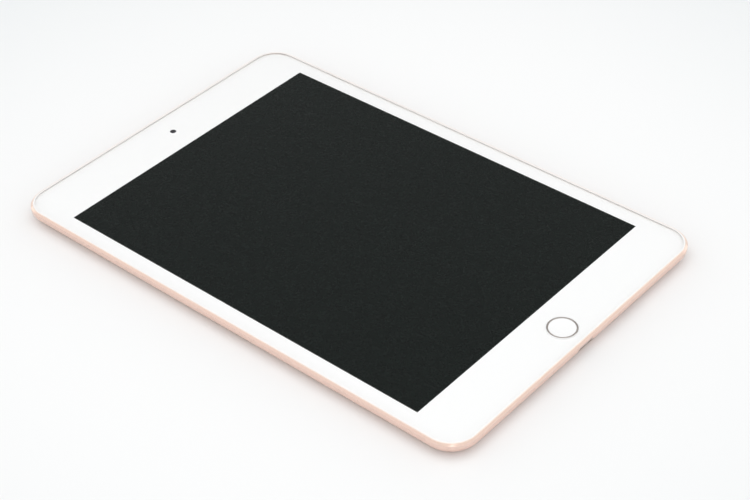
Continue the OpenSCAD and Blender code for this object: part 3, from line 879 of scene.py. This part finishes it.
class TABLET_OT_edge_buttons(bpy.types.Operator):
    """Round the faces of the top and volume buttons and model their snap domes"""
    bl_idname = "tablet.edge_buttons"
    bl_label = "Edge buttons"

    def execute(self, context):
        kinds = (("top_button", "top_key", 1, "top_button_press"),
                 ("volume_up_button", "volume_up_key", 0, "volume_up_press"),
                 ("volume_down_button", "volume_down_key", 0, "volume_down_press"))
        for node, body, way, joint in kinds:
            key = copy_node(node, node + "_face")
            face_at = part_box(node)[1][way]
            round_edges(key, lambda e: level(e, way, face_at), sizes().button_round, 3)
            dress(key, "button_metal", "button_rim")
            give(key, 1, lambda f: f.center[way] > face_at - sizes().button_round
                 and abs(f.normal[way]) < 0.97)
            hand_over(key, [node], body, 35)
            axis = Vector((0, 1, 0)) if way else Vector((1, 0, 0))
            snap_dome(node.replace("_button", "") + "_dome" if way == 0
                      else "top_button_dome", axis)
        return {"FINISHED"}


class TABLET_OT_rear_camera(bpy.types.Operator):
    """Turn the camera ring, its window and the lens stack behind it"""
    bl_idname = "tablet.rear_camera"
    bl_label = "Rear camera"

    def execute(self, context):
        low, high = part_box("rear_camera_trim")
        at = plan_middle(low, high)
        flange = (high.x - low.x) / 2
        wide, c = flange - 0.8 * MM, 0.12 * MM
        thin = wide - 0.75 * MM
        outline = [(thin, high.z), (thin, c), (thin + c, 0.02 * MM), (thin + 0.3 * MM, 0),
                   (wide - 0.05 * MM, 0), (wide, 0.05 * MM), (wide, 0.8 * MM),
                   (flange, 0.8 * MM), (flange, high.z), (thin, high.z)]
        ring = turn_profile("camera_ring", outline, at, steps=96)
        dress(ring, "trim_metal")
        hand_over(ring, ["rear_camera_trim"], smooth=35)

        low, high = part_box("rear_camera_lens")
        r = (high.x - low.x) / 2
        outline = [(0, low.z), (r - 0.12 * MM, low.z), (r - 0.03 * MM, low.z + 0.04 * MM),
                   (r, low.z + 0.12 * MM), (r, high.z), (0, high.z)]
        window = turn_profile("camera_window", outline, at, steps=96)
        dress(window, "clear_glass")
        hand_over(window, ["rear_camera_lens"], smooth=35)

        outline = [(0, 1.5), (2.9, 1.5), (2.9, 0.75), (2.7, 0.75), (2.5, 0.95), (1.95, 0.95),
                   (1.9, 0.85), (1.75, 0.85), (1.6, 1.02), (1.45, 1.1), (1.15, 1.15), (1.05, 1.05),
                   (0.7, 0.97), (0.35, 0.93), (0, 0.92)]
        barrel = turn_profile("camera_barrel", [(x * MM, z * MM) for x, z in outline], at,
                              steps=72)
        dress(barrel, "camera_black", "lens_glass")
        give(barrel, 1, lambda f: (f.center - at).xy.length < 1.12 * MM)
        hand_over(barrel, smooth=35)
        return {"FINISHED"}


class TABLET_OT_front_camera(bpy.types.Operator):
    """Turn the small lens that looks out through the border"""
    bl_idname = "tablet.front_camera"
    bl_label = "Front camera"

    def execute(self, context):
        low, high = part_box("front_camera")
        at = plan_middle(low, high)
        base = add_block("camera_block", low, (high.x, high.y, 4.5 * MM))
        round_corners(base, 0.5 * MM, 3)
        top = high.z
        outline = [(0, 4.4), (2.2, 4.4), (2.2, 5.2), (2.1, 5.3), (1.3, 5.3), (1.15, 5.2),
                   (0.85, 5.1), (0.75, 5.16), (0.5, 5.2), (0.25, 5.22), (0, 5.23)]
        lens = turn_profile("camera_eye", [(x * MM, z * MM + top - 5.3 * MM)
                                           for x, z in outline], at, steps=48)
        dress(base, "camera_black")
        dress(lens, "camera_black", "lens_glass")
        give(lens, 1, lambda f: f.center.z > 5.1 * MM and (f.center - at).xy.length < 0.8 * MM)
        camera = join("front_camera_unit", [lens, base])
        hand_over(camera, ["front_camera"], smooth=35)
        return {"FINISHED"}


class TABLET_OT_display(bpy.types.Operator):
    """Model the white mask, the screen stack with its raised front, and the light guide"""
    bl_idname = "tablet.display"
    bl_label = "Display"

    def execute(self, context):
        carry("bezel_mask", "mask_print", "white_ink")
        panel = copy_node("display_panel", "screen_stack")
        face_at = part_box("display_panel")[1].z
        round_edges(panel, lambda e: runs_along(e, 2) and centre_of(e).z < face_at - 0.1 * MM,
                    0.6 * MM, 4)
        dress(panel, "screen_black", "frame_black")
        give(panel, 1, lambda f: f.normal.z < 0.9 or f.center.z < face_at - 0.05 * MM)
        hand_over(panel, ["display_panel"])
        guide = copy_node("display_backlight", "light_guide")
        foot_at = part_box("display_backlight")[0].z
        round_corners(guide, 0.6 * MM, 4)
        sink(guide, lambda f: f.normal.z < -0.9, (2.4, 0), (0.2, -0.08))
        dress(guide, "backlight_white", "tray_tin")
        give(guide, 1, lambda f: f.normal.z > -0.9 or f.center.z < foot_at + 0.04 * MM)
        hand_over(guide, ["display_backlight"])
        carry("glass_gasket", "seal_bead", "dark_rubber", 50, 0.05)
        carry("home_button_gasket", "home_button_seal", "soft_white", 50, flatten=False)
        return {"FINISHED"}


class TABLET_OT_cells(bpy.types.Operator):
    """Model the two foil pouch cells with their folded rims, their tape and board"""
    bl_idname = "tablet.cells"
    bl_label = "Battery"

    def execute(self, context):
        rim = sizes().foil_rim
        for node in ("battery_cell_left", "battery_cell_right"):
            low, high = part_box(node)
            mid = (low.z + high.z) / 2
            body = add_block(node + "_body", (low.x + 0.25 * MM, low.y + rim, low.z),
                             (high.x - 0.25 * MM, high.y - rim, high.z))
            round_corners(body, 1.3 * MM, 5)
            round_edges(body, lambda e: level(e, 2, high.z) or level(e, 2, low.z), 0.8 * MM, 5)
            sink(body, lambda f: abs(f.normal.z) > 0.99 and f.calc_area() > 1e-3,
                 (1.5, 0), (0.5, -0.05))
            flap = add_block(node + "_rim", (low.x + 1.5 * MM, low.y, mid - 0.12 * MM),
                             (high.x - 1.5 * MM, high.y, mid + 0.12 * MM))
            round_corners(flap, 0.6 * MM, 3)
            folds = [add_block(node + "_fold", (x, low.y + 4 * MM, low.z + 0.3 * MM),
                               (x + 0.28 * MM, high.y - 4 * MM, high.z - 0.5 * MM))
                     for x in (low.x, high.x - 0.28 * MM)]
            for fold in folds:
                soften(fold, 0.08 * MM)
            cell = join(node + "_pouch", [body, flap] + folds)
            dress(cell, "cell_pouch")
            hand_over(cell, [node], smooth=35)

        low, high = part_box("battery_board")
        board = add_block("cell_board", low, (high.x, high.y, low.z + 0.7 * MM))
        round_corners(board, 0.5 * MM, 3)
        wrap = add_block("cell_wrap", (low.x + 1.2 * MM, low.y + 0.3 * MM, low.z + 0.6 * MM),
                         (high.x - 1.2 * MM, high.y - 0.3 * MM, high.z))
        pick(wrap, "EDGE", lambda e: level(e, 2, high.z) or runs_along(e, 2))
        bevel_picked(0.45 * MM, 3)
        cover = join("cell_guard", [board, wrap])
        dress(cover, "wrap_black")
        hand_over(cover, ["battery_board"], smooth=35)
        tape_strips()
        return {"FINISHED"}


def tape_strips():
    tapes = []
    for low, high in loose_boxes("battery_adhesive"):
        tape = add_block("tape_strip", low, high)
        round_corners(tape, 0.8 * MM, 3)
        tapes.append(tape)
    tape = join("cell_tape", tapes)
    dress(tape, "adhesive_white")
    hand_over(tape, ["battery_adhesive"])


class TABLET_OT_ribbons(bpy.types.Operator):
    """Soften the bends of the ribbon leads that run to the board"""
    bl_idname = "tablet.ribbons"
    bl_label = "Ribbon leads"

    def execute(self, context):
        for node in ("display_flex", "home_button_flex", "front_camera_flex", "battery_lead",
                     "jack_flex", "port_flex", "top_button_flex", "volume_flex"):
            carry(node, node + "_ribbon", "flex_film", 50, 0.035, 50)
        return {"FINISHED"}


def add_chip(name, low, high, round_by):
    chip = add_block(name, low, high)
    round_edges(chip, lambda e: level(e, 2, high[2]), round_by, 2)
    return chip


class TABLET_OT_board(bpy.types.Operator):
    """Fit the circuit board with chips, shield cans, plugs, pads and its small parts"""
    bl_idname = "tablet.board"
    bl_label = "Circuit board"

    def execute(self, context):
        board = copy_node("logic_board", "main_board")
        soften(board, 0.06 * MM, 1, 60)
        low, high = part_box("logic_board")
        dress(board, "board_green", "board_edge")
        give(board, 1, lambda f: abs(f.normal.z) < 0.5)
        self.small_parts(high.z)
        hand_over(board, ["logic_board"])

        chips = []
        for low, high in loose_boxes("board_chips"):
            chip = add_chip("chip", low, high, sizes().chip_round)
            sink(chip, faces_up, (0.5, 0), (0.04, -0.03))
            spot = add_round("spot", (low.x + 1.2 * MM, high.y - 1.2 * MM, high.z),
                             0.3 * MM, 0.12 * MM, 16)
            chips.append(cut(chip, spot))
        chips = join("board_chip_set", chips)
        dress(chips, "chip_black")
        hand_over(chips, ["board_chips"])

        cans = []
        for low, high in loose_boxes("board_shields"):
            can = add_block("can", low, high)
            round_corners(can, 0.9 * MM, 5)
            round_edges(can, lambda e: level(e, 2, high.z), 0.25 * MM, 3)
            sink(can, faces_up, (1.3, 0), (0.25, -0.1))
            hollow = add_block("hollow", low + Vector((0.2, 0.2, -1)) * MM,
                               high - Vector((0.2, 0.2, 0.3)) * MM)
            can = cut(can, hollow)
            for k in range(int((high.y - low.y) / (4 * MM))):
                for x in (low.x, high.x):
                    slot = add_block("slot", (x - MM, low.y + (1.6 + 4 * k) * MM,
                                              low.z - 0.2 * MM),
                                     (x + MM, low.y + (2.2 + 4 * k) * MM, low.z + 0.35 * MM))
                    can = cut(can, slot)
            cans.append(can)
        cans = join("shield_cans", cans)
        dress(cans, "shield_tin")
        hand_over(cans, ["board_shields"], smooth=35)

        plugs = []
        for low, high in loose_boxes("board_connectors"):
            plug = add_chip("plug", low, high, 0.1 * MM)
            dress(plug, "plug_ivory", "gold_plate")
            long_way = 0 if high.x - low.x > high.y - low.y else 1
            sink(plug, faces_up, (0.35, 0), (0.02, -0.25))
            plugs.append(plug)
            room = high[long_way] - low[long_way] - 1.4 * MM
            for k in range(int(room / (0.4 * MM))):
                for side in (0, 1):
                    start, end = low.copy(), high.copy()
                    start[long_way] = low[long_way] + 0.75 * MM + k * 0.4 * MM
                    end[long_way] = start[long_way] + 0.2 * MM
                    other = 1 - long_way
                    edge = (low[other], high[other])[side]
                    start[other] = min(edge, edge + (0.5 - side) * 1.1 * MM)
                    end[other] = max(edge, edge + (0.5 - side) * 1.1 * MM)
                    start.z, end.z = low.z, low.z + 0.2 * MM
                    pin = add_block("pin", start, end)
                    dress(pin, "plug_ivory", "gold_plate")
                    give(pin, 1, lambda f: True)
                    plugs.append(pin)
        plugs = join("board_plugs", plugs)
        hand_over(plugs, ["board_connectors"])

        pads = []
        for low, high in loose_boxes("shield_pads"):
            pad = add_block("pad", low, high)
            round_corners(pad, 1.2 * MM, 4)
            pads.append(soften(pad, 0.1 * MM))
        pads = join("shield_foam", pads)
        dress(pads, "foam_grey")
        hand_over(pads, ["shield_pads"], smooth=40)
        sheet = copy_node("graphite_sheet", "heat_spreader")
        round_corners(sheet, 2 * MM, 5)
        dress(sheet, "graphite")
        hand_over(sheet, ["graphite_sheet"])
        return {"FINISHED"}

    def small_parts(self, top):
        """Rows of capacitors and coils on the free strips of the board."""
        parts = []
        body = add_block("cap", (-0.5 * MM, -0.25 * MM, 0), (0.5 * MM, 0.25 * MM, 0.4 * MM))
        pick(body, "EDGE", lambda e: level(e, 2, 0.4 * MM))
        bevel_picked(0.05 * MM, 1)
        for x in (-0.3 * MM, 0.3 * MM):
            edit_all(body)
            bpy.ops.mesh.bisect(plane_co=(x, 0, 0), plane_no=(1, 0, 0))
            leave_edit()
        dress(body, "cap_body", "solder")
        give(body, 1, lambda f: abs(f.center.x) > 0.3 * MM)
        coil = add_block("coil", (-0.9 * MM, -0.9 * MM, 0), (0.9 * MM, 0.9 * MM, 0.7 * MM))
        round_corners(coil, 0.3 * MM, 3)
        round_edges(coil, lambda e: level(e, 2, 0.7 * MM), 0.12 * MM, 2)
        dress(coil, "chip_black")
        rows = ([(58.3, y * 1.5 - 40) for y in range(5, 36)]
                + [(60.1, y * 1.5 - 40) for y in range(5, 30)]
                + [(42 + 1.6 * k, -53.5) for k in range(9)]
                + [(42 + 1.6 * k, -55.2) for k in range(6)]
                + [(42 + 1.6 * k, -48.0) for k in range(10)]
                + [(42.2 + 1.6 * k, 65.2) for k in range(9)]
                + [(42.2 + 1.6 * k, 67.0) for k in range(9)]
                + [(48.6 + 1.6 * k, 70.6) for k in range(4)])
        holes = ((38, -50), (59.2, -50), (38, 20), (59.2, 20), (59.2, 71))
        for x, y in rows:
            if all(math.hypot(x - hx, y - hy) > 2.3 for hx, hy in holes):
                parts.append(copy_piece(body, "cap", (x * MM, y * MM, top)))
        for x, y in ((50.5, -65.5), (53.5, -65.5), (56.5, -65.5), (42, 70.3), (45, 70.3)):
            parts.append(copy_piece(coil, "coil", (x * MM, y * MM, top)))
        bpy.data.objects.remove(body)
        bpy.data.objects.remove(coil)
        small = join("board_small_parts", parts)
        hand_over(small)


class TABLET_OT_screws(bpy.types.Operator):
    """Turn the small screws and cut the cross in each head"""
    bl_idname = "tablet.screws"
    bl_label = "Screws"

    def execute(self, context):
        for node in ("board_screws", "bracket_screws"):
            screws = []
            for low, high in loose_boxes(node):
                middle = (low + high) / 2
                r = (high.x - low.x) / 2
                head = 0.5 * MM if node == "board_screws" else 0.4 * MM
                shank = r * 0.44
                under = high.z - head
                outline = [(0, low.z), (shank * 0.7, low.z), (shank, low.z + 0.15 * MM)]
                turn = low.z + 0.3 * MM
                while turn < under - 0.3 * MM:
                    outline += [(shank, turn), (shank * 0.84, turn + 0.12 * MM)]
                    turn += 0.25 * MM
                outline += [(shank, under), (r, under), (r, high.z - 0.18 * MM),
                            (r * 0.93, high.z - 0.05 * MM), (r * 0.8, high.z), (0, high.z)]
                screw = turn_profile("screw", outline, (middle.x, middle.y, 0), steps=32)
                for wide, deep in ((r * 1.1, 0.26 * MM), (0.26 * MM, r * 1.1)):
                    size = Vector((wide, deep, 0)) / 2
                    screw = cut(screw, add_block(
                        "cross", (middle.x - size.x, middle.y - size.y, high.z - 0.25 * MM),
                        (middle.x + size.x, middle.y + size.y, high.z + MM)))
                screws.append(screw)
            screws = join(node + "_turned", screws)
            dress(screws, "screw_steel")
            hand_over(screws, [node], smooth=35)
        return {"FINISHED"}


class TABLET_OT_brackets(bpy.types.Operator):
    """Break the edges of the pressed brackets, magnets, antennas and microphones"""
    bl_idname = "tablet.brackets"
    bl_label = "Brackets and small fixed parts"

    def execute(self, context):
        kinds = (("home_button_bracket", "spring_steel", 0.05),
                 ("front_camera_bracket", "spring_steel", 0.05),
                 ("top_button_bracket", "spring_steel", 0.06),
                 ("volume_bracket", "spring_steel", 0.06),
                 ("cover_magnets", "magnet_nickel", 0.2),
                 ("antenna_left", "antenna_copper", 0.08),
                 ("antenna_right", "antenna_copper", 0.08),
                 ("microphones", "gold_plate", 0.1))
        for node, slot, width in kinds:
            carry(node, node + "_part", slot, 40, width, 50)
        low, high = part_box("light_sensor")
        sensor = add_block("sensor_case", low, high)
        round_edges(sensor, lambda e: level(e, 2, high.z) or runs_along(e, 2), 0.15 * MM, 2)
        sink(sensor, faces_up, (0.5, 0), (0.05, -0.1))
        dress(sensor, "sensor_dark", "lens_glass")
        give(sensor, 1, lambda f: f.normal.z > 0.99 and f.center.z < high.z - 0.05 * MM)
        hand_over(sensor, ["light_sensor"])
        return {"FINISHED"}


class TABLET_OT_sockets(bpy.types.Operator):
    """Finish the headphone socket, the charging socket and their sprung contacts"""
    bl_idname = "tablet.sockets"
    bl_label = "Sockets"

    def execute(self, context):
        carry("headphone_jack", "headphone_socket", "socket_white", 35, 0.12, 60)
        shell = copy_node("charging_port", "charging_shell")
        dress(shell, "socket_steel", "socket_dark")
        low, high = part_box("charging_port")
        # The inner faces of the charging slot take a darker tone: painted shade of the opening.
        give(shell, 1, lambda f: abs(f.center.x) < high.x - 0.32 * MM
             and low.z + 0.28 * MM < f.center.z < high.z - 0.28 * MM)
        hand_over(shell, ["charging_port"], smooth=35)
        for node in ("jack_contacts", "port_contacts"):
            carry(node, node + "_sprung", "gold_plate", 50, 0.03, 60)
        return {"FINISHED"}


class TABLET_OT_speakers(bpy.types.Operator):
    """Mould the speaker boxes with their lids and ribs, and lay the dust mesh"""
    bl_idname = "tablet.speakers"
    bl_label = "Speakers"

    def execute(self, context):
        for node, side in (("speaker_left", -1), ("speaker_right", 1)):
            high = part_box(node)[1]
            box = copy_node(node, node + "_box")
            soften(box, 0.3 * MM, 3, 60)
            inner = sorted((side * 19 * MM, side * 53 * MM))
            lid = add_block("lid", (inner[0], -94.6 * MM, high.z - 0.25 * MM),
                            (inner[1], -85 * MM, high.z + MM))
            round_corners(lid, 2 * MM, 6)
            box = cut(box, lid)
            ribs = []
            for k in range(7):
                x = inner[0] + (3 + 4.6 * k) * MM
                rib = add_block("rib", (x, -93.8 * MM, high.z - 0.3 * MM),
                                (x + 0.8 * MM, -85.8 * MM, high.z - 0.05 * MM))
                ribs.append(soften(rib, 0.1 * MM))
            speaker = join(node + "_chamber", [box] + ribs)
            dress(speaker, "wrap_black")
            hand_over(speaker, [node], smooth=35)
        carry("speaker_meshes", "dust_mesh", "mesh_dark")
        return {"FINISHED"}


class TABLET_OT_camera_box(bpy.types.Operator):
    """Build the rear camera module round its lens barrel, with its ribbon"""
    bl_idname = "tablet.camera_box"
    bl_label = "Rear camera module"

    def execute(self, context):
        low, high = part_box("rear_camera_trim")
        x, y = (low.x + high.x) / 2, (low.y + high.y) / 2
        low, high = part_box("rear_camera")
        half = 4.25 * MM
        base = add_block("camera_can", (x - half, y - half, 1.4 * MM),
                         (x + half, y + half, high.z))
        round_corners(base, 0.7 * MM, 4)
        round_edges(base, lambda e: level(e, 2, 1.4 * MM) or level(e, 2, high.z), 0.2 * MM, 2)
        tail = add_block("camera_tail", (50 * MM, 75 * MM, 3 * MM),
                         (55 * MM, y - 4.15 * MM, 3.1 * MM))
        round_corners(tail, 0.4 * MM, 3)
        dress(base, "camera_black", "flex_film")
        dress(tail, "camera_black", "flex_film")
        give(tail, 1, lambda f: True)
        module = join("rear_camera_module", [base, tail])
        hand_over(module, ["rear_camera"], smooth=35)
        return {"FINISHED"}


# ---- the stage ----

def add_softbox(name, place, size, power, aim=(0, 0, 0)):
    select_none()
    bpy.ops.object.light_add(type="AREA", location=place)
    box = bpy.context.object
    box.name = name
    box.data.shape = "RECTANGLE"
    box.data.size, box.data.size_y = size
    box.data.energy = power
    box.rotation_euler = (Vector(aim) - Vector(place)).to_track_quat("-Z", "Y").to_euler()


class TABLET_OT_stage(bpy.types.Operator):
    """Lay the pale floor and set up the soft lights and the camera"""
    bl_idname = "tablet.stage"
    bl_label = "Stage"

    def execute(self, context):
        scene = context.scene
        settings = scene.tablet_stage
        select_none()
        bpy.ops.mesh.primitive_plane_add(size=12, location=(0, 0, CAD_BOX[0][2]))
        floor = settle("floor")
        bpy.ops.object.mode_set(mode="EDIT")
        bpy.ops.mesh.subdivide(number_cuts=8)
        leave_edit()
        dress(floor, "floor")

        world = bpy.data.worlds.new("studio")
        scene.world = world
        world.use_nodes = True
        nodes, links = world.node_tree.nodes, world.node_tree.links
        nodes.clear()
        out = nodes.new("ShaderNodeOutputWorld")
        sky = nodes.new("ShaderNodeBackground")
        sky.inputs["Color"].default_value = (0.99, 0.995, 0.998, 1.0)
        where = nodes.new("ShaderNodeTexCoord")
        toward = nodes.new("ShaderNodeVectorMath")
        toward.operation = "DOT_PRODUCT"
        toward.inputs[1].default_value = SCREEN_GLANCE
        split = nodes.new("ShaderNodeSeparateXYZ")
        patch, rise, crown = (nodes.new("ShaderNodeMapRange") for _ in range(3))
        joined, shade = nodes.new("ShaderNodeMath"), nodes.new("ShaderNodeMath")
        joined.operation, shade.operation = "ADD", "MULTIPLY"
        for fade, span in ((patch, (0.88, 0.97, 1.0, 0.2)), (rise, (0.15, 0.42, 1.3, 0.97)),
                           (crown, (0.8, 0.95, 0.0, 0.81))):
            fade.interpolation_type = "SMOOTHSTEP"
            for socket, value in zip(("From Min", "From Max", "To Min", "To Max"), span):
                fade.inputs[socket].default_value = value
        for source, target in (
                (where.outputs["Generated"], toward.inputs[0]),
                (where.outputs["Generated"], split.inputs["Vector"]),
                (toward.outputs["Value"], patch.inputs["Value"]),
                (split.outputs["Z"], rise.inputs["Value"]),
                (patch.outputs["Result"], shade.inputs[0]),
                (split.outputs["Z"], crown.inputs["Value"]),
                (rise.outputs["Result"], joined.inputs[0]),
                (crown.outputs["Result"], joined.inputs[1]),
                (joined.outputs["Value"], shade.inputs[1]),
                (shade.outputs["Value"], sky.inputs["Strength"]),
                (sky.outputs["Background"], out.inputs["Surface"])):
            links.new(source, target)

        add_softbox("key_light", (-0.83, -0.82, 1.34), (0.16, 0.16), 1.6)

        lens = bpy.data.cameras.new("studio_camera")
        lens.lens = settings.lens
        lens.sensor_width = 36
        lens.clip_start = 0.01
        camera = bpy.data.objects.new("studio_camera", lens)
        scene.collection.objects.link(camera)
        turn = (Matrix.Rotation(-settings.turn, 4, "Z")
                @ Matrix.Rotation(math.pi / 2 - settings.dip, 4, "X")
                @ Matrix.Rotation(settings.roll, 4, "Z"))
        camera.matrix_world = Matrix.Translation(settings.camera_at) @ turn
        scene.camera = camera
        scene.view_settings.view_transform = "Standard"
        return {"FINISHED"}


class TABLET_PT_panel(bpy.types.Panel):
    """Lists the pieces of the tablet in the sidebar"""
    bl_idname = "TABLET_PT_panel"
    bl_label = "Tablet"
    bl_space_type = "VIEW_3D"
    bl_region_type = "UI"
    bl_category = "Tablet"

    def draw(self, context):
        for group in (context.scene.tablet_sizes, context.scene.tablet_colours,
                      context.scene.tablet_stage):
            for name in group.__annotations__:
                self.layout.prop(group, name)
        for step in STEPS:
            self.layout.operator(step.bl_idname, text=step.bl_label)


STEPS = (TABLET_OT_stage, TABLET_OT_housing, TABLET_OT_glass, TABLET_OT_display,
         TABLET_OT_home_button, TABLET_OT_edge_buttons, TABLET_OT_rear_camera,
         TABLET_OT_camera_box, TABLET_OT_front_camera, TABLET_OT_sockets,
         TABLET_OT_speakers, TABLET_OT_cells, TABLET_OT_board, TABLET_OT_ribbons,
         TABLET_OT_brackets, TABLET_OT_screws)
GROUPS = (TabletSizes, TabletColours, StageSettings)


def register():
    for kind in GROUPS + STEPS + (TABLET_PT_panel,):
        bpy.utils.register_class(kind)
    bpy.types.Scene.tablet_sizes = PointerProperty(type=TabletSizes)
    bpy.types.Scene.tablet_colours = PointerProperty(type=TabletColours)
    bpy.types.Scene.tablet_stage = PointerProperty(type=StageSettings)


def unregister():
    del bpy.types.Scene.tablet_stage
    del bpy.types.Scene.tablet_colours
    del bpy.types.Scene.tablet_sizes
    for kind in reversed(GROUPS + STEPS + (TABLET_PT_panel,)):
        bpy.utils.unregister_class(kind)


def main():
    register()
    for step in STEPS:
        family, name = step.bl_idname.split(".")
        getattr(getattr(bpy.ops, family), name)()
    select_none()


if __name__ == "__main__":
    main()
